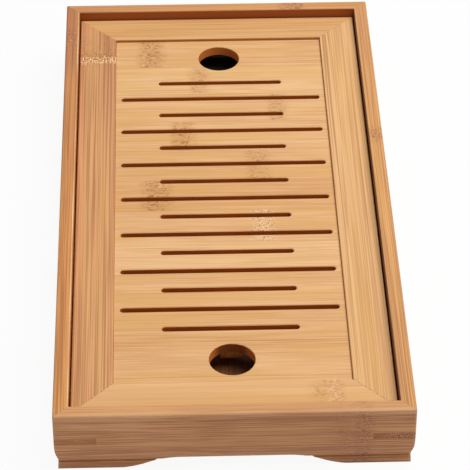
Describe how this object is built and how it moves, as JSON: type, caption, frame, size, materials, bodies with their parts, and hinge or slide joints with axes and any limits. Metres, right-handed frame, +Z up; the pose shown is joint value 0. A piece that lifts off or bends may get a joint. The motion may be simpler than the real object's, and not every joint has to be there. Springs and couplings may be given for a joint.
{
  "type": "gongfu tea tray",
  "caption": "Shallow oblong bamboo tea tray: moulded box on bracket feet, lift-off framed lid with drain slots and finger holes, loose black drip tray inside.",
  "frame": {"origin": "on the table under the middle of the tray", "axes": "+Z up, +Y along the tray's long side towards its back end, +X to the right seen from the front end"},
  "size_m": [0.14, 0.28, 0.0285],
  "materials": {
    "bamboo_wall": "satin oiled carbonised bamboo, grain along the board",
    "bamboo_rail": "satin oiled bamboo, grain along the rail",
    "bamboo_panel": "satin oiled bamboo, grain across the tray",
    "bamboo_key": "satin darker bamboo",
    "bamboo_board": "plain bamboo board",
    "black_plastic": "gloss black moulded plastic"
  },
  "bodies": {
    "tray_box": {"front_wall": "bamboo_wall", "back_wall": "bamboo_wall", "left_wall": "bamboo_wall", "right_wall": "bamboo_wall", "corner_key_front_left": "bamboo_key", "corner_key_front_right": "bamboo_key", "corner_key_back_left": "bamboo_key", "corner_key_back_right": "bamboo_key", "bottom_board": "bamboo_board"},
    "lid": {"lid_front_rail": "bamboo_rail", "lid_back_rail": "bamboo_rail", "lid_left_rail": "bamboo_rail", "lid_right_rail": "bamboo_rail", "lid_spline_front_left": "bamboo_key", "lid_spline_front_right": "bamboo_key", "lid_spline_back_left": "bamboo_key", "lid_spline_back_right": "bamboo_key", "lid_panel": "bamboo_panel", "lid_batten": "bamboo_rail"},
    "drip_tray": {"drip_tray": "black_plastic"}
  },
  "joints": [
    {"name": "lid_lift", "type": "slide", "parent": "tray_box", "child": "lid", "axis": [0, 0, 1], "range_m": [0, 0.06]},
    {"name": "drip_tray_lift", "type": "slide", "parent": "tray_box", "child": "drip_tray", "axis": [0, 0, 1], "range_m": [0, 0.03]}
  ],
  "couplings": [
    {"joint": "drip_tray_lift", "follows": "lid_lift", "ratio": 0.5}
  ]
}
